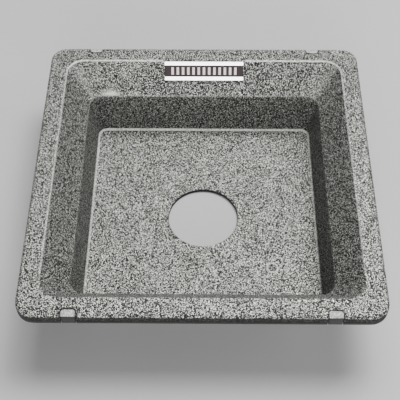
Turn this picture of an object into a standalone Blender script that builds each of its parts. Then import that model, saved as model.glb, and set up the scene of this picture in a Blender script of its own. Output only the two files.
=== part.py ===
"""Recessed lens board for a large-format view camera, 158 mm square.

The board is a square metal tray.  Its flat rim faces the subject, its well goes back into the
camera, and the shutter sits in the round hole in the floor of the well.  A light-trap frame
closes the back of the rim, four edge keys tie the two together, and a name plate is bonded into
a shallow pocket in one slope of the well.

Axes: origin under the middle of the well, +Z out of the well's mouth, +Y towards the name plate.
"""
import math

import bmesh
import bpy
from mathutils import Matrix, Vector

MM = 0.001
GAP = 0.3 * MM

# The board in plan: half widths, and the corner radius that goes with each
BOARD_HALF = 79.0 * MM
BOARD_CORNER = 8.0 * MM
MOUTH_HALF = 69.8 * MM
MOUTH_CORNER = 8.5 * MM
BREAK_HALF = 59.2 * MM
BREAK_CORNER = 6.5 * MM
FLOOR_HALF = 56.45 * MM
FLOOR_CORNER = 4.5 * MM

# The board in section
SHEET = 2.0 * MM
WELL_DEPTH = 38.8 * MM
BREAK_DEPTH = 15.3 * MM
RIM_TOP = WELL_DEPTH + SHEET
FLOOR_TOP = SHEET
BREAK_TOP = RIM_TOP - BREAK_DEPTH
EDGE_THICKNESS = 6.05 * MM
SKIRT_DEPTH = 4.4 * MM

# Rounded edges of the section
RIM_OUTER_ROUND = 1.6 * MM
RIM_INNER_ROUND = 0.7 * MM
BREAK_ROUND = 2.0 * MM
FLOOR_FILLET = 1.5 * MM
INSIDE_FILLET = 0.8 * MM
CORNER_STEPS = 8
ROUND_STEPS = 4

# Shutter hole for a No. 0 leaf shutter
HOLE_RADIUS = 17.3 * MM
HOLE_CENTRE = Vector((0.0, -1.3 * MM))
HOLE_CHAMFER = 0.3 * MM

# Four shallow round marks in the floor of the well
DIMPLE_RADIUS = 2.25 * MM
DIMPLE_DEPTH = 0.3 * MM
DIMPLE_X = 33.7 * MM
DIMPLE_Y = 29.5 * MM
DIMPLE_SIDES = 20

# Light-trap frame behind the rim
FRAME_TOP = RIM_TOP - SKIRT_DEPTH - GAP
FRAME_BOTTOM = RIM_TOP - EDGE_THICKNESS
FRAME_INNER_HALF = 69.4 * MM
SPACER_OUTER_HALF = 75.0 * MM
SPACER_INNER_HALF = 73.0 * MM
SPACER_TOP = RIM_TOP - SHEET - GAP
TRAP_OUTER_HALF = 72.0 * MM
TRAP_RIB_DEPTH = 1.6 * MM

# Four edge keys through the rim, the skirt and the frame
KEY_X = 56.0 * MM
KEY_WIDTH = 6.0 * MM
KEY_REACH = 3.2 * MM
KEY_CORNER = 1.2 * MM
KEY_EDGE_ROUND = 1.0 * MM
KEY_CORNER_STEPS = 5
CUT_MARGIN = 3.0 * MM

# Name plate, its bonding film and its pocket, measured down the slope from the rim's inner edge
POCKET_WIDTH = 42.5 * MM
POCKET_END = 11.3 * MM
POCKET_DEPTH = 0.6 * MM
BOND_GAP = 0.2 * MM
FILM_THICKNESS = 0.15 * MM
FILM_MARGIN = 0.6 * MM
PLATE_WIDTH = 40.5 * MM
PLATE_START = 0.45 * MM
PLATE_END = 10.1 * MM
PLATE_THICKNESS = 0.5 * MM
BAND_START = 2.35 * MM
BAND_END = 8.25 * MM
BAND_DEPTH = 0.12 * MM


def clear_objects():
    for old in list(bpy.data.objects):
        bpy.data.objects.remove(old, do_unlink=True)


def make_material(name, colour, metallic, roughness):
    material = bpy.data.materials.new(name)
    material.use_nodes = True
    shader = material.node_tree.nodes["Principled BSDF"]
    shader.inputs["Base Color"].default_value = (*colour, 1.0)
    shader.inputs["Metallic"].default_value = metallic
    shader.inputs["Roughness"].default_value = roughness
    material.diffuse_color = (*colour, 1.0)
    return material


def add_object(name, bm, material=None):
    """Turn a bmesh into a linked object, with its faces pointing out."""
    bmesh.ops.recalc_face_normals(bm, faces=bm.faces)
    mesh = bpy.data.meshes.new(name)
    bm.to_mesh(mesh)
    bm.free()
    obj = bpy.data.objects.new(name, mesh)
    bpy.context.scene.collection.objects.link(obj)
    if material:
        mesh.materials.append(material)
    return obj


def shade_round(obj, sharp_angle):
    obj.data.shade_smooth()
    obj.data.set_sharp_from_angle(angle=math.radians(sharp_angle))


def cut(target, cutter):
    """Take the cutter's volume away from the target, and keep the cutter out of the part."""
    cutter.hide_render = True
    cutter.display_type = "WIRE"
    modifier = target.modifiers.new(cutter.name, "BOOLEAN")
    modifier.operation = "DIFFERENCE"
    modifier.solver = "EXACT"
    modifier.object = cutter


class Corner:
    """One corner of a section: a half width, a height, a plan radius and a rounding radius."""

    def __init__(self, half, height, plan_radius, round_radius=0.0):
        self.half = half
        self.height = height
        self.plan_radius = plan_radius
        self.round_radius = round_radius

    def at(self, half, height):
        """A point near this corner whose plan arcs share this corner's arc centres."""
        return Corner(half, height, self.plan_radius + half - self.half)


def rounded_section(corners):
    """Replace each rounded corner of an open section by the points of its arc."""
    points = [corners[0]]
    for before, corner, after in zip(corners, corners[1:], corners[2:]):
        if corner.round_radius == 0.0:
            points.append(corner)
            continue
        vertex = Vector((corner.half, corner.height))
        to_before = (Vector((before.half, before.height)) - vertex).normalized()
        to_after = (Vector((after.half, after.height)) - vertex).normalized()
        half_angle = to_before.angle(to_after) / 2
        centre_way = (to_before + to_after).normalized()
        centre = vertex + centre_way * corner.round_radius / math.sin(half_angle)
        start = vertex + to_before * corner.round_radius / math.tan(half_angle) - centre
        sweep = to_before.angle_signed(to_after)
        turn = math.copysign(math.pi - 2 * half_angle, sweep)
        for step in range(ROUND_STEPS + 1):
            spoke = start.copy()
            spoke.rotate(Matrix.Rotation(turn * step / ROUND_STEPS, 2))
            points.append(corner.at(centre.x + spoke.x, centre.y + spoke.y))
    points.append(corners[-1])
    return points


def square_loop(bm, point):
    """A ring of vertices round a square with rounded corners."""
    centre = point.half - point.plan_radius
    ring = []
    for quadrant in range(4):
        start = math.radians(90 * quadrant)
        corner_x = centre * math.copysign(1, math.cos(start + math.pi / 4))
        corner_y = centre * math.copysign(1, math.sin(start + math.pi / 4))
        for step in range(CORNER_STEPS + 1):
            angle = start + math.radians(90) * step / CORNER_STEPS
            x = corner_x + point.plan_radius * math.cos(angle)
            y = corner_y + point.plan_radius * math.sin(angle)
            ring.append(bm.verts.new((x, y, point.height)))
    return ring


def hole_loop(bm, radius, height):
    """A ring of as many vertices round the shutter hole."""
    count = 4 * (CORNER_STEPS + 1)
    ring = []
    for step in range(count):
        angle = math.tau * (step + 0.5) / count
        x = HOLE_CENTRE.x + radius * math.cos(angle)
        y = HOLE_CENTRE.y + radius * math.sin(angle)
        ring.append(bm.verts.new((x, y, height)))
    return ring


def join_loops(bm, loops):
    """Skin a closed chain of equal rings, the last one back to the first."""
    count = len(loops[0])
    for ring, following in zip(loops, loops[1:] + loops[:1]):
        for i in range(count):
            j = (i + 1) % count
            bm.faces.new((ring[i], ring[j], following[j], following[i]))


def offset_corner(before, corner, after, distance):
    """The corner of a section line moved sideways, away from the front of the sheet."""
    line_in = Vector((corner.half - before.half, corner.height - before.height)).normalized()
    line_out = Vector((after.half - corner.half, after.height - corner.height)).normalized()
    back_in = Vector((-line_in.y, line_in.x))
    back_out = Vector((-line_out.y, line_out.x))
    mid = (back_in + back_out).normalized()
    shift = mid * distance / mid.dot(back_in)
    return corner.at(corner.half + shift.x, corner.height + shift.y)


def board_sections():
    """The section's front side from skirt to floor, and its back side from floor to skirt."""
    skirt_end = Corner(BOARD_HALF, RIM_TOP - SKIRT_DEPTH, BOARD_CORNER)
    rim_outer = Corner(BOARD_HALF, RIM_TOP, BOARD_CORNER, RIM_OUTER_ROUND)
    rim_inner = Corner(MOUTH_HALF, RIM_TOP, MOUTH_CORNER, RIM_INNER_ROUND)
    brk = Corner(BREAK_HALF, BREAK_TOP, BREAK_CORNER, BREAK_ROUND)
    floor = Corner(FLOOR_HALF, FLOOR_TOP, FLOOR_CORNER, FLOOR_FILLET)
    middle = Corner(HOLE_RADIUS, FLOOR_TOP, 0.0)
    line = [skirt_end, rim_outer, rim_inner, brk, floor, middle]
    front = rounded_section(line)[:-1]

    back_line = [Corner(HOLE_RADIUS, 0.0, 0.0)]
    rounds = {floor: FLOOR_FILLET + SHEET}
    for before, corner, after in reversed(list(zip(line, line[1:], line[2:]))):
        back = offset_corner(before, corner, after, SHEET)
        back.round_radius = rounds.get(corner, INSIDE_FILLET)
        back_line.append(back)
    back_line.append(skirt_end.at(BOARD_HALF - SHEET, skirt_end.height))
    return front, rounded_section(back_line)[1:]


def make_board_shell(material):
    bm = bmesh.new()
    front, back = board_sections()
    loops = [square_loop(bm, point) for point in front]
    loops.append(hole_loop(bm, HOLE_RADIUS + HOLE_CHAMFER, FLOOR_TOP))
    loops.append(hole_loop(bm, HOLE_RADIUS, FLOOR_TOP - HOLE_CHAMFER))
    loops.append(hole_loop(bm, HOLE_RADIUS, HOLE_CHAMFER))
    loops.append(hole_loop(bm, HOLE_RADIUS + HOLE_CHAMFER, 0.0))
    loops += [square_loop(bm, point) for point in back]
    join_loops(bm, loops)
    shell = add_object("board_shell", bm, material)
    cut(shell, make_notch_cutter("shell_notches"))
    cut(shell, make_dimple_cutter())
    cut(shell, make_pocket_cutter())
    shade_round(shell, 30)
    return shell


def make_light_trap_frame(material):
    """A flat ring behind the rim, with a spacer rib inside the skirt and a rear light-trap rib."""
    outer_centre = BOARD_HALF - BOARD_CORNER
    inner_centre = MOUTH_HALF - MOUTH_CORNER
    rib_bottom = FRAME_BOTTOM - TRAP_RIB_DEPTH
    section = [
        (BOARD_HALF, FRAME_BOTTOM, outer_centre),
        (BOARD_HALF, FRAME_TOP, outer_centre),
        (SPACER_OUTER_HALF, FRAME_TOP, outer_centre),
        (SPACER_OUTER_HALF, SPACER_TOP, outer_centre),
        (SPACER_INNER_HALF, SPACER_TOP, outer_centre),
        (SPACER_INNER_HALF, FRAME_TOP, outer_centre),
        (FRAME_INNER_HALF, FRAME_TOP, inner_centre),
        (FRAME_INNER_HALF, rib_bottom, inner_centre),
        (TRAP_OUTER_HALF, rib_bottom, inner_centre),
        (TRAP_OUTER_HALF, FRAME_BOTTOM, inner_centre),
    ]
    bm = bmesh.new()
    loops = []
    for half, height, centre in section:
        loops.append(square_loop(bm, Corner(half, height, half - centre)))
    join_loops(bm, loops)
    frame = add_object("light_trap_frame", bm, material)
    cut(frame, make_notch_cutter("frame_notches"))
    shade_round(frame, 30)
    return frame


def key_outline(width, reach, corner, outer_y):
    """Plan of an edge key on the +Y side: straight at the board's edge, rounded inside."""
    inner_y = BOARD_HALF - reach
    points = [(width / 2, outer_y)]
    for side in (1, -1):
        start = 0 if side > 0 else 270
        for step in range(KEY_CORNER_STEPS + 1):
            angle = math.radians(start - 90 * step / KEY_CORNER_STEPS)
            x = side * (width / 2 - corner) + corner * math.cos(angle)
            y = inner_y + corner + corner * math.sin(angle)
            points.append((x, y))
    points.append((-width / 2, outer_y))
    return points


def add_prism(bm, outline, bottom, top, turn=None):
    """Add an upright prism on a plan outline, and turn it about Z if asked."""
    low = [bm.verts.new((x, y, bottom)) for x, y in outline]
    high = [bm.verts.new((x, y, top)) for x, y in outline]
    bm.faces.new(low)
    bm.faces.new(high)
    for i in range(len(outline)):
        j = (i + 1) % len(outline)
        bm.faces.new((low[i], low[j], high[j], high[i]))
    if turn:
        bmesh.ops.rotate(bm, verts=low + high, cent=(0, 0, 0), matrix=Matrix.Rotation(turn, 3, "Z"))
    return low + high


def key_places():
    """Each key's name, its X along its own edge, and the turn that puts it on that edge."""
    return [
        ("edge_key_far_left", -KEY_X, 0.0),
        ("edge_key_far_right", KEY_X, 0.0),
        ("edge_key_near_left", KEY_X, math.pi),
        ("edge_key_near_right", -KEY_X, math.pi),
    ]


def make_notch_cutter(name):
    outline = key_outline(KEY_WIDTH + 2 * GAP, KEY_REACH + GAP, KEY_CORNER + GAP, BOARD_HALF + CUT_MARGIN)
    bm = bmesh.new()
    for _, along, turn in key_places():
        placed = [(x + along, y) for x, y in outline]
        add_prism(bm, placed, FRAME_BOTTOM - CUT_MARGIN, RIM_TOP + CUT_MARGIN, turn)
    return add_object(name, bm)


def make_edge_key(name, along, turn, material):
    bm = bmesh.new()
    outline = key_outline(KEY_WIDTH, KEY_REACH, KEY_CORNER, BOARD_HALF)
    add_prism(bm, [(x + along, y) for x, y in outline], FRAME_BOTTOM, RIM_TOP, turn)
    outer_top = []
    for edge in bm.edges:
        a, b = edge.verts
        at_top = min(a.co.z, b.co.z) > RIM_TOP - GAP
        at_edge = min(abs(a.co.y), abs(b.co.y)) > BOARD_HALF - GAP
        if at_top and at_edge:
            outer_top.append(edge)
    bmesh.ops.bevel(bm, geom=outer_top, offset=KEY_EDGE_ROUND, segments=ROUND_STEPS, affect="EDGES")
    key = add_object(name, bm, material)
    shade_round(key, 30)
    return key


def make_dimple_cutter():
    bm = bmesh.new()
    middle = FLOOR_TOP - DIMPLE_DEPTH + CUT_MARGIN / 2
    for x in (-DIMPLE_X, DIMPLE_X):
        for y in (-DIMPLE_Y, DIMPLE_Y):
            place = Matrix.Translation((x, HOLE_CENTRE.y + y, middle))
            bmesh.ops.create_cone(bm, cap_ends=True, segments=DIMPLE_SIDES, radius1=DIMPLE_RADIUS,
                                  radius2=DIMPLE_RADIUS, depth=CUT_MARGIN, matrix=place)
    return add_object("floor_dimples", bm)


def slope_matrix():
    """Axes on the far slope: X along the rim, Y up the slope to the rim's edge, Z off its face."""
    up_slope = Vector((0, MOUTH_HALF - BREAK_HALF, BREAK_DEPTH)).normalized()
    off_face = Vector((1, 0, 0)).cross(up_slope)
    matrix = Matrix((Vector((1, 0, 0)), up_slope, off_face)).transposed().to_4x4()
    matrix.translation = (0, MOUTH_HALF, RIM_TOP)
    return matrix


def slope_bar(name, width, outline, material=None):
    """A straight bar along X on the far slope, with a section given as (up slope, off face)."""
    bm = bmesh.new()
    left = [bm.verts.new((-width / 2, y, z)) for y, z in outline]
    right = [bm.verts.new((width / 2, y, z)) for y, z in outline]
    bm.faces.new(left)
    bm.faces.new(right)
    for i in range(len(outline)):
        j = (i + 1) % len(outline)
        bm.faces.new((left[i], left[j], right[j], right[i]))
    bar = add_object(name, bm, material)
    bar.matrix_world = slope_matrix()
    return bar


def make_pocket_cutter():
    outline = [
        (CUT_MARGIN, -POCKET_DEPTH),
        (CUT_MARGIN, CUT_MARGIN),
        (-POCKET_END, CUT_MARGIN),
        (-POCKET_END, -POCKET_DEPTH),
    ]
    return slope_bar("plate_pocket", POCKET_WIDTH, outline)


def make_name_plate_film(material):
    low = BOND_GAP - POCKET_DEPTH
    high = low + FILM_THICKNESS
    start = -PLATE_START - FILM_MARGIN
    end = -PLATE_END + FILM_MARGIN
    outline = [(start, low), (start, high), (end, high), (end, low)]
    return slope_bar("name_plate_film", PLATE_WIDTH - 2 * FILM_MARGIN, outline, material)


def make_name_plate(material):
    """A thin plate with a sunk band along its middle."""
    low = 2 * BOND_GAP + FILM_THICKNESS - POCKET_DEPTH
    high = low + PLATE_THICKNESS
    band = high - BAND_DEPTH
    outline = [
        (-PLATE_START, low),
        (-PLATE_START, high),
        (-BAND_START, high),
        (-BAND_START, band),
        (-BAND_END, band),
        (-BAND_END, high),
        (-PLATE_END, high),
        (-PLATE_END, low),
    ]
    return slope_bar("name_plate", PLATE_WIDTH, outline, material)


def main():
    clear_objects()
    crinkle_paint = make_material("crinkle_paint", (0.045, 0.045, 0.047), 0.0, 0.55)
    frame_paint = make_material("frame_paint", (0.03, 0.03, 0.031), 0.0, 0.6)
    worn_metal = make_material("worn_metal", (0.28, 0.28, 0.28), 0.7, 0.4)
    plate_metal = make_material("plate_metal", (0.82, 0.81, 0.8), 0.9, 0.3)
    clear_film = make_material("clear_film", (0.6, 0.57, 0.5), 0.0, 0.5)
    make_board_shell(crinkle_paint)
    make_light_trap_frame(frame_paint)
    for name, along, turn in key_places():
        make_edge_key(name, along, turn, worn_metal)
    make_name_plate_film(clear_film)
    make_name_plate(plate_metal)


main()
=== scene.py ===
"""Looks for the recessed lens board: crinkle-painted tray, worn edge keys, light name plate."""

import math

import bmesh
import bpy
import numpy as np
from mathutils import Matrix, Quaternion, Vector, noise


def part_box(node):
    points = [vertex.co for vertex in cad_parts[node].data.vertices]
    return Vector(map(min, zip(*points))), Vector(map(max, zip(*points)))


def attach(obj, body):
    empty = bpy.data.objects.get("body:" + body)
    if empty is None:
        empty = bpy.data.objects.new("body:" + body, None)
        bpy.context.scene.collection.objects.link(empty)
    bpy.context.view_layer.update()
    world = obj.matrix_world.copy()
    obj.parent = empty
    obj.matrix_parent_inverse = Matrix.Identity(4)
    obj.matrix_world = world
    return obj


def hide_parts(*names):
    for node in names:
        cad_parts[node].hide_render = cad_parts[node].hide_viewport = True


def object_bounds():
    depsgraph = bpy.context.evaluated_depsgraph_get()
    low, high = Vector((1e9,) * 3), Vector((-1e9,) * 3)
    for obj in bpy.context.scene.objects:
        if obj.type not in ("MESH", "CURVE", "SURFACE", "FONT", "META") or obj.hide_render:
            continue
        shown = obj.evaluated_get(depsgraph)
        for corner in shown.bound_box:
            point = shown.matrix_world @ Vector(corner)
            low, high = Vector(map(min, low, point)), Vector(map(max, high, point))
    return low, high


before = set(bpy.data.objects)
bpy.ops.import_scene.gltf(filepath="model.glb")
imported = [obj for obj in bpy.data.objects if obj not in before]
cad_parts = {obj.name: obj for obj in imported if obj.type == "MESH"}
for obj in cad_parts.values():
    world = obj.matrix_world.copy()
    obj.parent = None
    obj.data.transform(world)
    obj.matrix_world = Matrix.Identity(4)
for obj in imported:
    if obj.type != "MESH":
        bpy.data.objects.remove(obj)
cad_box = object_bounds()

MM = 0.001

# ---------------------------------------------------------------- sizes
# The board is seen from its front, +Z, with the far side at +Y. Heights are from the well's back.
_, SHELL_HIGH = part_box("board_shell")
BOARD_HALF = SHELL_HIGH.x
RIM_TOP = SHELL_HIGH.z
RIM_CENTRE = 71.0 * MM  # centre of the rim's corner arcs
SHEET = 2.0 * MM
SKIRT_BOTTOM = RIM_TOP - 4.4 * MM
MOUTH_HALF = 69.8 * MM
BREAK_HALF, BREAK_DROP = 59.2 * MM, 15.3 * MM
FLOOR_HALF = 56.45 * MM
HOLE_RADIUS, HOLE_Y = 17.3 * MM, -1.3 * MM
HOLE_CHAMFER = 0.3 * MM
DIMPLE_X, DIMPLE_Y = 33.7 * MM, 29.5 * MM
DIMPLE_RADIUS, DIMPLE_DEPTH = 2.25 * MM, 0.3 * MM
KEYS = [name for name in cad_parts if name.startswith("edge_key")]
KEY_CORNER = 1.2 * MM
NOTCH_GAP = 0.3 * MM
CUT_MARGIN = 3.0 * MM
RIM_ROUND = 1.6 * MM
POCKET_HALF, POCKET_HEIGHT, POCKET_DEPTH = 21.25 * MM, 11.3 * MM, 0.6 * MM
PLATE_HALF = 20.25 * MM

# Fineness of the board's mesh: the front's pitch, the even part of each side, and steps per arc
PITCH = 0.95 * MM
BACK_PITCH = 5.0 * MM
EDGE_GUARD = 0.25 * MM
EVEN_REACH = 45.0 * MM
END_STEPS = 20
ARC_STEPS = 9
ROUND_STEPS = 5
RELIEF, RELIEF_SPACING = 0.05 * MM, 0.9 * MM

# Painted shade: how much of the painted glints each shaded place loses
EDGE_PAINTED_SHADE = 0.9
NOTCH_PAINTED_SHADE = 0.8
WALL_PAINTED_SHADE = 0.33
DIMPLE_PAINTED_SHADE = 0.3


# ---------------------------------------------------------------- small helpers
def link(obj):
    bpy.context.scene.collection.objects.link(obj)
    return obj


def object_from_bmesh(name, bm, materials=()):
    bmesh.ops.recalc_face_normals(bm, faces=bm.faces)
    mesh = bpy.data.meshes.new(name)
    bm.to_mesh(mesh)
    bm.free()
    for material in materials:
        mesh.materials.append(material)
    return link(bpy.data.objects.new(name, mesh))


def apply_modifiers(obj):
    """Replace an object's mesh by its evaluated one."""
    depsgraph = bpy.context.evaluated_depsgraph_get()
    result = bpy.data.meshes.new_from_object(obj.evaluated_get(depsgraph), depsgraph=depsgraph)
    obj.modifiers.clear()
    obj.data = result


def shade_round(obj, sharp_angle):
    """Smooth shading, except over edges sharper than an angle in degrees."""
    obj.data.shade_smooth()
    obj.data.set_sharp_from_angle(angle=math.radians(sharp_angle))


def add_bevel(obj, width):
    bevel = obj.modifiers.new("edges", "BEVEL")
    bevel.width = width
    bevel.segments = 2
    bevel.limit_method = "ANGLE"
    bevel.angle_limit = math.radians(40)


def vertex_vectors(mesh, field):
    """The vertices' "co" or "normal" as rows of an array."""
    values = np.empty(len(mesh.vertices) * 3, np.float32)
    mesh.vertices.foreach_get(field, values)
    return values.reshape(-1, 3)


# ---------------------------------------------------------------- materials
class Nodes:
    """A short way to write node trees."""

    def __init__(self, name):
        self.material = bpy.data.materials.new(name)
        self.material.use_nodes = True
        self.tree = self.material.node_tree
        self.shader = self.tree.nodes["Principled BSDF"]
        self.place = self.add("ShaderNodeTexCoord").outputs["Object"]

    def add(self, kind, **settings):
        node = self.tree.nodes.new(kind)
        for key, value in settings.items():
            setattr(node, key, value)
        return node

    def wire(self, value, socket):
        if isinstance(value, bpy.types.NodeSocket):
            self.tree.links.new(value, socket)
        else:
            socket.default_value = value

    def map_place(self, setting, value):
        """Turn or stretch the grid that the noises after this are read on."""
        node = self.add("ShaderNodeMapping")
        self.wire(self.place, node.inputs["Vector"])
        node.inputs[setting].default_value = value
        self.place = node.outputs[0]

    def noise(self, feature, detail=2.0, roughness=0.5, distortion=0.0):
        """Noise with features of a given size in metres."""
        node = self.add("ShaderNodeTexNoise")
        self.wire(self.place, node.inputs["Vector"])
        node.inputs["Scale"].default_value = 1.0 / feature
        node.inputs["Detail"].default_value = detail
        node.inputs["Roughness"].default_value = roughness
        node.inputs["Distortion"].default_value = distortion
        return node.outputs["Fac"]

    def math(self, operation, a, b=0.0, clamp=False):
        node = self.add("ShaderNodeMath", operation=operation, use_clamp=clamp)
        self.wire(a, node.inputs[0])
        self.wire(b, node.inputs[1])
        return node.outputs[0]

    def ramp(self, value, *stops):
        """Linear map of a value, with (position, grey or colour) stops."""
        node = self.add("ShaderNodeValToRGB")
        self.wire(value, node.inputs[0])
        elements = node.color_ramp.elements
        while len(elements) < len(stops):
            elements.new(0.5)
        for element, (position, colour) in zip(elements, stops):
            element.position = position
            grey = isinstance(colour, (int, float))
            element.color = (colour, colour, colour, 1) if grey else (*colour, 1)
        return node.outputs[0]

    def mix(self, factor, a, b):
        node = self.add("ShaderNodeMix", data_type="RGBA")
        self.wire(factor, node.inputs[0])
        self.wire(a, node.inputs[6])
        self.wire(b, node.inputs[7])
        return node.outputs[2]

    def attribute(self, name):
        node = self.add("ShaderNodeAttribute", attribute_name=name)
        return node.outputs["Fac"]

    def bump(self, height, distance, strength=1.0):
        node = self.add("ShaderNodeBump")
        node.inputs["Strength"].default_value = strength
        node.inputs["Distance"].default_value = distance
        self.wire(height, node.inputs["Height"])
        return node.outputs["Normal"]

    def finish(self, colour, roughness, normal=None, metallic=0.0, specular=0.5):
        self.wire(colour, self.shader.inputs["Base Color"])
        self.wire(roughness, self.shader.inputs["Roughness"])
        self.wire(metallic, self.shader.inputs["Metallic"])
        self.shader.inputs["Specular IOR Level"].default_value = specular
        if normal:
            self.wire(normal, self.shader.inputs["Normal"])
        return self.material


def crinkle_paint(name, dark, light, worn_and_lit):
    """Black wrinkle paint: painted glints on the ridge tops, taken away where shade is painted;
    pale rubbed paint and painted highlight lines where the wear mask is set.
    """
    n = Nodes(name)
    n.map_place("Rotation", (0.6, 0.5, 0.4))  # so that no face lies along the noise's grid
    worms = n.math("ABSOLUTE", n.math("SUBTRACT", n.noise(0.6 * MM, 0.0, 0.5, 0.6), 0.5))
    ridges = n.math("MULTIPLY", worms, 4.0, clamp=True)
    grit = n.noise(0.36 * MM, 0.0, 0.5)
    patches = n.noise(14 * MM, 2.0, 0.5)
    height = n.math("ADD", n.math("MULTIPLY", ridges, 0.25), n.math("MULTIPLY", grit, 0.75))
    tone = n.math("ADD", height, n.math("MULTIPLY", n.math("SUBTRACT", patches, 0.5), 0.04))
    # One minus the painted shade.
    unshaded = n.math("SUBTRACT", 1.0, n.attribute("painted_shade"))
    # Painted glints: pale colour and some metal on the ridge tops stand in for their highlights;
    # painted shade takes them away.
    glint = n.math("MULTIPLY", n.ramp(tone, (0.54, 0.0), (0.66, 1.0)), unshaded)
    patchiness = n.ramp(n.noise(0.7 * MM, 2.0, 0.7), (0.36, 0.25), (0.56, 1.0))
    wear_and_highlight = n.math("MULTIPLY", n.attribute("wear_and_highlight"), patchiness, clamp=True)
    # Pale where the paint is rubbed and where highlight lines are painted.
    colour = n.mix(wear_and_highlight, n.mix(glint, (*dark, 1), (*light, 1)), (*worn_and_lit, 1))
    roughness = n.ramp(glint, (0.0, 0.75), (1.0, 0.35))
    metallic = n.math("MULTIPLY", n.math("MAXIMUM", glint, wear_and_highlight), 0.6)
    normal = n.bump(height, 0.17 * MM, 1.0)
    return n.finish(colour, roughness, normal, metallic=metallic, specular=0.3)


def smooth_paint(name, tone):
    """Thin smooth paint with a fine grain, for the frame, and for the keys' sides, where its dark
    tone is painted shade.
    """
    n = Nodes(name)
    grain = n.noise(0.5 * MM, 3.0, 0.6)
    colour = n.ramp(grain, (0.3, tone * 0.6), (0.7, tone * 1.4))
    normal = n.bump(grain, 0.05 * MM, 0.6)
    return n.finish(colour, n.ramp(grain, (0.3, 0.4), (0.7, 0.6)), normal)


def plate_metal(name, tint):
    """Satin aluminium, brushed along the plate."""
    n = Nodes(name)
    n.map_place("Scale", (0.05, 1.0, 1.0))
    brush = n.noise(0.15 * MM, 3.0, 0.6)
    low = tuple(c * 0.85 for c in tint)
    colour = n.ramp(brush, (0.3, low), (0.7, tint))
    roughness = n.ramp(brush, (0.3, 0.28), (0.7, 0.38))
    return n.finish(colour, roughness, n.bump(brush, 0.01 * MM, 0.4), metallic=0.95)


def enamel(name, tint, specular):
    """Baked colour on the plate, slightly cloudy."""
    n = Nodes(name)
    cloud = n.noise(3 * MM, 3.0, 0.6)
    low = tuple(c * 0.7 for c in tint)
    colour = n.ramp(cloud, (0.35, low), (0.65, tint))
    normal = n.bump(n.noise(0.8 * MM), 0.01 * MM, 0.3)
    return n.finish(colour, n.ramp(cloud, (0.3, 0.35), (0.7, 0.5)), normal, specular=specular)


def film_material(name):
    """Yellowed adhesive film."""
    n = Nodes(name)
    cloud = n.noise(2 * MM, 3.0, 0.6)
    colour = n.ramp(cloud, (0.3, (0.5, 0.46, 0.38)), (0.7, (0.62, 0.58, 0.5)))
    return n.finish(colour, 0.5, n.bump(cloud, 0.02 * MM, 0.4))


def floor_material(name, tone):
    n = Nodes(name)
    cloud = n.noise(60 * MM, 2.0, 0.5)
    colour = n.ramp(cloud, (0.3, tone * 0.985), (0.7, tone))
    return n.finish(colour, 0.75, specular=0.25)


# ---------------------------------------------------------------- the board's section
class Turn:
    """A corner of the section: half width, height, corner arcs' centre, rounding, and paint wear
    with painted highlight.
    """

    def __init__(self, half, height, centre, rounding, wear_and_highlight=0.0):
        self.half, self.height, self.centre = half, height, centre
        self.rounding, self.wear_and_highlight = rounding, wear_and_highlight


def section_points(turns, pitch):
    """Points (half, height, centre, wear and painted highlight) along an open section with its
    corners rounded.
    """
    points = []
    leave = None
    for before, turn, after in zip([None] + turns[:-1], turns, turns[1:] + [None]):
        vertex = Vector((turn.half, turn.height))
        if before is None or after is None or turn.rounding == 0.0:
            arc = [vertex]
        else:
            back = (Vector((before.half, before.height)) - vertex).normalized()
            ahead = (Vector((after.half, after.height)) - vertex).normalized()
            half_angle = back.angle(ahead) / 2
            centre = vertex + (back + ahead).normalized() * turn.rounding / math.sin(half_angle)
            spoke = vertex + back * turn.rounding / math.tan(half_angle) - centre
            sweep = math.copysign(math.pi - 2 * half_angle, back.angle_signed(ahead))
            arc = []
            for step in range(ROUND_STEPS + 1):
                arm = spoke.copy()
                arm.rotate(Matrix.Rotation(sweep * step / ROUND_STEPS, 2))
                arc.append(centre + arm)
        if leave is not None:
            start, start_centre = leave
            run = arc[0] - start
            count = max(1, round(run.length / pitch))
            shares = [step / count for step in range(1, count)]
            if count > 2:
                guard = EDGE_GUARD / run.length
                shares = [guard] + shares + [1 - guard]
            for share in shares:
                place = start + run * share
                middle = start_centre + (turn.centre - start_centre) * share
                points.append((place.x, place.y, middle, 0.0))
        points += [(place.x, place.y, turn.centre, turn.wear_and_highlight) for place in arc]
        leave = (arc[-1], turn.centre)
    return points


def plan_loop(half, centre):
    """Plan points round a square with rounded corners. Along the sides they keep even places."""
    radius = half - centre
    even = np.linspace(-EVEN_REACH, EVEN_REACH, round(2 * EVEN_REACH / PITCH) + 1)
    tail = np.linspace(EVEN_REACH, centre, END_STEPS + 1)[1:]
    along = np.concatenate([-tail[::-1], even, tail])[1:-1]
    arc = np.radians(np.linspace(0, 90, ARC_STEPS + 1))
    side = np.stack([np.full_like(along, half), along], 1)
    corner = np.stack([centre + radius * np.cos(arc), centre + radius * np.sin(arc)], 1)
    quarter = np.concatenate([side, corner])
    loops = []
    for turn in range(4):
        c, s = round(math.cos(turn * math.pi / 2)), round(math.sin(turn * math.pi / 2))
        loops.append(quarter @ np.array([[c, s], [-s, c]]))
    return np.concatenate(loops)


def hole_ring(plan, radius):
    """Points on the shutter hole's circle in the same directions as a plan loop's points."""
    angle = np.arctan2(plan[:, 1] - HOLE_Y, plan[:, 0])
    return np.stack([radius * np.cos(angle), HOLE_Y + radius * np.sin(angle)], 1)


def sideways(before, turn, after, distance):
    """The matching corner on the back of the sheet."""
    first = Vector((turn.half - before.half, turn.height - before.height)).normalized()
    second = Vector((after.half - turn.half, after.height - turn.height)).normalized()
    normals = [Vector((-line.y, line.x)) for line in (first, second)]
    mid = (normals[0] + normals[1]).normalized()
    return mid * distance / mid.dot(normals[0])


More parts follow.
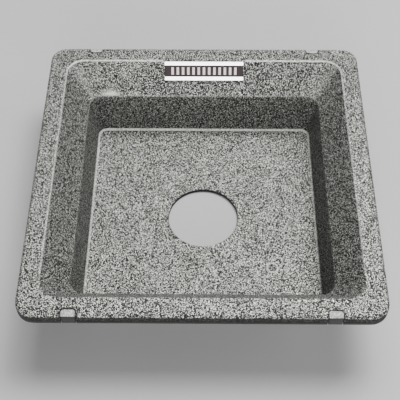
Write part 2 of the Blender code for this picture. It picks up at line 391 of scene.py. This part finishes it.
def board_loops():
    """Every ring of the shell: skirt, rim, down the well to the hole, and back up behind."""
    floor_strip, back_strip = 5 * MM, 6 * MM
    turns = [
        # Last number: paint wear with a painted highlight line; the mouth's edge and the floor's
        # fillet carry bright painted highlight lines.
        Turn(BOARD_HALF, SKIRT_BOTTOM, RIM_CENTRE, 0.0),
        Turn(BOARD_HALF, RIM_TOP, RIM_CENTRE, RIM_ROUND, 0.1),
        Turn(MOUTH_HALF, RIM_TOP, 61.3 * MM, 0.7 * MM, 0.95),
        Turn(BREAK_HALF, RIM_TOP - BREAK_DROP, 52.7 * MM, 2.0 * MM, 0.15),
        Turn(FLOOR_HALF, SHEET, 51.95 * MM, 0.75 * MM, 1.1),
        Turn(FLOOR_HALF - floor_strip, SHEET, 47.5 * MM, 0.0),
    ]
    loops = []
    for half, height, centre, wear_and_highlight in section_points(turns, PITCH):
        loops.append((plan_loop(half, centre), height, wear_and_highlight))

    edge = loops[-1][0]
    hole, rim_of_hole = hole_ring(edge, HOLE_RADIUS), hole_ring(edge, HOLE_RADIUS + HOLE_CHAMFER)
    count = round((turns[-1].half - HOLE_RADIUS) / PITCH)
    for step in range(1, count + 1):
        loops.append((edge + (rim_of_hole - edge) * (step / count), SHEET, 0.0))
    loops.append((hole, SHEET - HOLE_CHAMFER, 0.0))
    loops.append((hole, HOLE_CHAMFER, 0.0))
    loops.append((rim_of_hole, 0.0, 0.0))

    behind = []
    for i, rounding in ((4, 2.75 * MM), (3, 0.8 * MM), (2, 0.8 * MM), (1, 0.6 * MM)):
        turn = turns[i]
        shift = sideways(turns[i - 1], turn, turns[i + 1], SHEET)
        behind.append(Turn(turn.half + shift.x, turn.height + shift.y, turn.centre, rounding))
    behind.append(Turn(BOARD_HALF - SHEET, SKIRT_BOTTOM, RIM_CENTRE, 0.0))
    inner = Turn(behind[0].half - back_strip, 0.0, behind[0].centre - back_strip, 0.0)
    for half, height, centre, wear_and_highlight in section_points([inner] + behind, BACK_PITCH):
        loops.append((plan_loop(half, centre), height, wear_and_highlight))
    return loops


def side_highlight_share(plan):
    """How much of the rubbed paint and painted highlight lines each side gets: most on the far
    side, least on the near one.
    """
    across, along = (plan / abs(plan).max()).T
    return np.clip(0.35 + 0.65 * along**9 - 0.1 * across, 0.05, 1.0)


def rubbed_streak_and_sheen(plan, height):
    """A rubbed streak above the break in the far left corner, and a painted highlight sheen down
    both far corners.
    """
    x, y = plan.T
    streak_x, streak_height = -48.5 * MM, 26.6 * MM
    half_length, half_thickness = 3.6 * MM, 1.0 * MM
    along, up = (x - streak_x) / half_length, (height - streak_height) / half_thickness
    streak = np.exp(-(along**2) - up**2)
    on_slope = abs(plan).max() < MOUTH_HALF and height > RIM_TOP - BREAK_DROP
    # Painted highlight: a sheen down the far corners' slopes.
    sheen = np.exp(-(((abs(x) - y) / (3 * MM)) ** 2)) * on_slope
    return (y > 0) * (1.2 * streak + 0.15 * sheen)


def skin(name, loops, material):
    """A closed mesh round a chain of rings with the same number of points."""
    count = len(loops[0][0])
    places, wear_and_highlight = [], []
    for plan, height, worn_and_lit in loops:
        places.append(np.column_stack([plan, np.full(count, height)]))
        wear_and_highlight.append(worn_and_lit * side_highlight_share(plan) + rubbed_streak_and_sheen(plan, height))
    ring = np.arange(count)
    following = np.roll(ring, -1)
    faces = []
    for i in range(len(loops)):
        a = i * count
        b = (i + 1) % len(loops) * count
        faces.append(np.stack([a + ring, a + following, b + following, b + ring], 1))
    mesh = bpy.data.meshes.new(name)
    mesh.from_pydata(np.concatenate(places).tolist(), [], np.concatenate(faces).tolist())
    mesh.attributes.new("wear_and_highlight", "FLOAT", "POINT").data.foreach_set("value", np.concatenate(wear_and_highlight))
    mesh.materials.append(material)
    return link(bpy.data.objects.new(name, mesh))


def relief(mesh):
    """Push each vertex in along its normal by a fine uneven amount, but not on the flat back."""
    places, normals = vertex_vectors(mesh, "co"), vertex_vectors(mesh, "normal")
    push = np.array([noise.noise(Vector(place) / RELIEF_SPACING) for place in places.tolist()])
    push = np.clip(0.5 + push, 0, 1) * RELIEF * (places[:, 2] > 0.1 * MM)
    places -= normals * push[:, None]
    mesh.vertices.foreach_set("co", places.ravel())
    mesh.update()


def mark_paint(mesh):
    """Paint shade where the paint loses its glints, and paint faint highlight rings round the
    dimples.
    """
    near = 0.2 * MM
    x, y, z = vertex_vectors(mesh, "co").T
    corner_x, corner_y = np.maximum(abs(x) - RIM_CENTRE, 0), np.maximum(abs(y) - RIM_CENTRE, 0)
    from_dimple = np.hypot(abs(x) - DIMPLE_X, abs(y - HOLE_Y) - DIMPLE_Y)

    on_wall = (z > SHEET + 0.9 * MM) & (z < RIM_TOP - BREAK_DROP - 0.9 * MM)
    on_skirt = np.hypot(corner_x, corner_y) > BOARD_HALF - RIM_CENTRE - near
    # Painted shade: the well's walls, the hole, the skirt, the dimples and the notches round the
    # keys lose their painted glints and read dark.
    painted_shade = np.where(on_wall, WALL_PAINTED_SHADE, 0.0)
    painted_shade[np.hypot(x, y - HOLE_Y) < HOLE_RADIUS + near] = EDGE_PAINTED_SHADE
    painted_shade[on_skirt & (z < RIM_TOP - 1.2 * MM)] = EDGE_PAINTED_SHADE
    painted_shade[(from_dimple < DIMPLE_RADIUS - near) & (z < SHEET)] = DIMPLE_PAINTED_SHADE
    reach = NOTCH_GAP + 0.05 * MM
    for key in KEYS:
        low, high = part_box(key)
        between = (x > low.x - reach) & (x < high.x + reach)
        inner = min(abs(low.y), abs(high.y)) - reach
        painted_shade[between & (math.copysign(1, low.y) * y > inner)] = NOTCH_PAINTED_SHADE
    mesh.attributes.new("painted_shade", "FLOAT", "POINT").data.foreach_set("value", painted_shade.astype(np.float32))

    wear_and_highlight = np.empty(len(mesh.vertices), np.float32)
    mesh.attributes["wear_and_highlight"].data.foreach_get("value", wear_and_highlight)
    # Painted highlight rings on the dimples' lips, strongest on the near right one.
    at_lip = abs(from_dimple - DIMPLE_RADIUS - 0.25 * MM) < near
    ring = at_lip & (abs(z - SHEET) < 0.1 * MM)
    wear_and_highlight[ring] = np.where((x > 0) & (y < 0), 0.7, 0.25)[ring]
    mesh.attributes["wear_and_highlight"].data.foreach_set("value", wear_and_highlight)


# ---------------------------------------------------------------- cuts in the board
def add_prism(bm, low_end, high_end):
    """A closed prism between two outlines of matching points."""
    low = [bm.verts.new(point) for point in low_end]
    high = [bm.verts.new(point) for point in high_end]
    bm.faces.new(low)
    bm.faces.new(high)
    for i in range(len(low)):
        j = (i + 1) % len(low)
        bm.faces.new((low[i], low[j], high[j], high[i]))
    return high


def add_key(bm, box, gap, outer, margin):
    """A key or its notch: square at the board's edge, rounded towards the middle."""
    low, high = box
    arc_steps = 6
    side = math.copysign(1, low.y + high.y)
    half = (high.x - low.x) / 2 + gap
    middle = (high.x + low.x) / 2
    inner = min(abs(low.y), abs(high.y)) - gap
    radius = KEY_CORNER + gap
    quarter = []
    for step in range(arc_steps + 1):
        angle = math.radians(-90 * step / arc_steps)
        x = half - radius + radius * math.cos(angle)
        quarter.append((x, inner + radius + radius * math.sin(angle)))
    outline = [(half, outer)] + quarter + [(-x, y) for x, y in reversed(quarter)] + [(-half, outer)]
    ends = []
    for z in (low.z - margin, high.z + margin):
        ends.append([(middle + x, side * y, z) for x, y in outline])
    return add_prism(bm, *ends)


def slope_matrix():
    """Axes on the far slope: X along the rim, Y up the slope to the rim's edge, Z off its face."""
    up_slope = Vector((0, MOUTH_HALF - BREAK_HALF, BREAK_DROP)).normalized()
    off_face = Vector((1, 0, 0)).cross(up_slope)
    matrix = Matrix((Vector((1, 0, 0)), up_slope, off_face)).transposed().to_4x4()
    matrix.translation = (0, MOUTH_HALF, RIM_TOP)
    return matrix


def board_cutter():
    """What is cut out of the board: four notches, four dimples and the plate's pocket."""
    bm = bmesh.new()
    for key in KEYS:
        add_key(bm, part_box(key), NOTCH_GAP, BOARD_HALF + CUT_MARGIN, CUT_MARGIN)

    middle = SHEET - DIMPLE_DEPTH + CUT_MARGIN / 2
    bottom_radius = DIMPLE_RADIUS - 0.3 * MM
    top_radius = bottom_radius + 2 * CUT_MARGIN
    for x in (-DIMPLE_X, DIMPLE_X):
        for y in (-DIMPLE_Y, DIMPLE_Y):
            place = Matrix.Translation((x, HOLE_Y + y, middle))
            bmesh.ops.create_cone(bm, cap_ends=True, segments=40, radius1=bottom_radius,
                                  radius2=top_radius, depth=CUT_MARGIN, matrix=place)

    pocket = [(CUT_MARGIN, -POCKET_DEPTH), (CUT_MARGIN, CUT_MARGIN),
              (-POCKET_HEIGHT, CUT_MARGIN), (-POCKET_HEIGHT, -POCKET_DEPTH)]
    ends = []
    for x in (-POCKET_HALF, POCKET_HALF):
        ends.append([slope_matrix() @ Vector((x, y, z)) for y, z in pocket])
    add_prism(bm, *ends)
    return object_from_bmesh("board_cutter", bm)


def make_board(paint):
    board = skin("crinkle_board", board_loops(), paint)
    relief(board.data)
    cutter = board_cutter()
    boolean = board.modifiers.new("cuts", "BOOLEAN")
    boolean.operation = "DIFFERENCE"
    boolean.solver = "MANIFOLD"
    boolean.object = cutter
    apply_modifiers(board)
    bpy.data.objects.remove(cutter)
    mark_paint(board.data)
    shade_round(board, 38)
    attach(board, "root")
    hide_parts("board_shell")


# ---------------------------------------------------------------- keys, frame and name plate
def make_key(node, worn_paint, shaded_side_paint):
    """A key with the rim's own round on its outer edge, rubbed on top and with painted shade on its
    sides.
    """
    bm = bmesh.new()
    crown = add_key(bm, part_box(node), 0.0, BOARD_HALF, 0.0)
    outer_edge = bm.edges.get((crown[0], crown[-1]))
    bmesh.ops.bevel(bm, geom=[outer_edge], offset=RIM_ROUND, segments=6, profile=0.5,
                    affect="EDGES")
    key = object_from_bmesh(node.replace("edge_key", "worn_key"), bm, [worn_paint, shaded_side_paint])
    add_bevel(key, 0.2 * MM)
    apply_modifiers(key)
    for face in key.data.polygons:
        # Upward faces take the rubbed top paint; the sides take a darker paint as painted shade.
        face.material_index = 0 if face.normal.z > 0.5 else 1
    shade_round(key, 50)
    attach(key, "root")
    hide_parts(node)


def finish_cad_node(node, material, bevel_width=0.0):
    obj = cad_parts[node]
    obj.data.materials.clear()
    obj.data.materials.append(material)
    if bevel_width:
        add_bevel(obj, bevel_width)


def rounded_bar(bm, x_range, y_range, z_range, bevel, material_index):
    """A box on the slope's axes with softened top and upright edges."""
    tiny = 1e-7
    made = bmesh.ops.create_cube(bm, size=1.0)["verts"]
    ranges = (x_range, y_range, z_range)
    for vert in made:
        vert.co = Vector([low if c < 0 else high for c, (low, high) in zip(vert.co, ranges)])
    faces = {face for vert in made for face in vert.link_faces}
    for face in faces:
        face.material_index = material_index
    edges = {edge for face in faces for edge in face.edges}
    top = [e for e in edges if min(v.co.z for v in e.verts) > z_range[1] - tiny]
    upright = [e for e in edges if abs(e.verts[0].co.z - e.verts[1].co.z) > tiny]
    result = bmesh.ops.bevel(bm, geom=top + upright, offset=bevel, segments=2, affect="EDGES")
    for face in result["faces"]:
        face.material_index = material_index


def make_name_plate(metal, band, motif):
    """A thin plate with two light rails, a sunk dark band and a plain row of raised bars."""
    bm = bmesh.new()
    width = (-PLATE_HALF, PLATE_HALF)
    top, bottom = -0.45 * MM, -10.1 * MM
    rail = 1.9 * MM
    back, band_face, bar_face, rail_face = -0.05 * MM, 0.33 * MM, 0.40 * MM, 0.45 * MM
    rounded_bar(bm, width, (bottom, top), (back, band_face), 0.05 * MM, 1)
    rounded_bar(bm, width, (top - rail, top), (back, rail_face), 0.08 * MM, 0)
    rounded_bar(bm, width, (bottom, bottom + rail - 0.05 * MM), (back, rail_face), 0.08 * MM, 0)
    bars, pitch, bar_half, bar_span = 13, 2.7 * MM, 0.7 * MM, (-7.3 * MM, -3.3 * MM)
    for i in range(bars):
        x = (i - (bars - 1) / 2) * pitch
        rounded_bar(bm, (x - bar_half, x + bar_half), bar_span, (back, bar_face), 0.1 * MM, 2)
    plate = object_from_bmesh("banded_plate", bm, [metal, band, motif])
    plate.data.transform(slope_matrix())
    shade_round(plate, 35)
    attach(plate, "root")
    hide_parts("name_plate")


# ---------------------------------------------------------------- camera, lights and floor
# Name, azimuth from +Y towards +X and elevation in degrees, and power of each softbox
SOFTBOXES = [
    ("top_softbox", 0, 75, 5.2),
    ("back_right_softbox", 45, 65, 9.5),
    ("right_softbox", 90, 30, 1.5),
    ("front_softbox", 180, 20, 7.6),
]
SOFTBOX_SIDE, SOFTBOX_DISTANCE = 0.4, 0.9
SOFTBOX_AIM = Vector((0, 0, 0.03))
BACKDROP = 0.14


def make_camera():
    """The photo's view, as solved from the board's straight edges and its hole."""
    place = Vector((1.83, -253.58, 362.82)) * MM
    aim = Vector((-0.007865, 0.58885, -0.80821))
    turn = aim.to_track_quat("-Z", "Y") @ Quaternion((0, 0, 1), math.radians(-0.3325))
    camera = bpy.data.cameras.new("camera")
    camera.sensor_width = 36.0
    camera.lens = 78.75
    camera.clip_start = 0.01
    holder = link(bpy.data.objects.new("camera", camera))
    holder.location = place
    holder.rotation_euler = turn.to_euler()
    bpy.context.scene.camera = holder


def soft_light(name, azimuth, elevation, power):
    azimuth, elevation = math.radians(azimuth), math.radians(elevation)
    level = math.cos(elevation)
    way = Vector((math.sin(azimuth) * level, math.cos(azimuth) * level, math.sin(elevation)))
    lamp = bpy.data.lights.new(name, "AREA")
    lamp.shape = "SQUARE"
    lamp.size = SOFTBOX_SIDE
    lamp.energy = power
    holder = link(bpy.data.objects.new(name, lamp))
    holder.location = way * SOFTBOX_DISTANCE + SOFTBOX_AIM
    holder.rotation_euler = (-way).to_track_quat("-Z", "Y").to_euler()


def make_studio():
    bm = bmesh.new()
    bmesh.ops.create_grid(bm, x_segments=2, y_segments=2, size=2.0)
    floor = object_from_bmesh("studio_floor", bm, [floor_material("studio_floor", 0.47)])
    floor.location.z = cad_box[0].z - 0.05 * MM
    for softbox in SOFTBOXES:
        soft_light(*softbox)
    world = bpy.data.worlds.new("studio")
    world.use_nodes = True
    backdrop = world.node_tree.nodes["Background"]
    backdrop.inputs["Color"].default_value = (0.9, 0.93, 0.95, 1)
    backdrop.inputs["Strength"].default_value = BACKDROP
    bpy.context.scene.world = world


# ---------------------------------------------------------------- making it all
make_camera()
make_studio()
# Colour of the painted glints, and of the rubbed paint and painted highlight lines.
painted_glint_tone, worn_and_lit_tone = (0.84, 0.86, 0.80), (0.8, 0.81, 0.75)
make_board(crinkle_paint("crinkle_paint", (0.005, 0.005, 0.004), painted_glint_tone, worn_and_lit_tone))
finish_cad_node("light_trap_frame", smooth_paint("frame_paint", 0.012), 0.25 * MM)
key_paint = crinkle_paint("key_paint", (0.3, 0.3, 0.28), painted_glint_tone, worn_and_lit_tone)
key_shaded_side_paint = smooth_paint("key_shaded_side_paint", 0.015)
for key in KEYS:
    make_key(key, key_paint, key_shaded_side_paint)
finish_cad_node("name_plate_film", film_material("bond_film"))
make_name_plate(
    plate_metal("plate_metal", (0.97, 0.94, 0.92)),
    enamel("dark_band", (0.03, 0.017, 0.018), 0.15),
    enamel("motif_enamel", (0.92, 0.78, 0.76), 1.0),
)
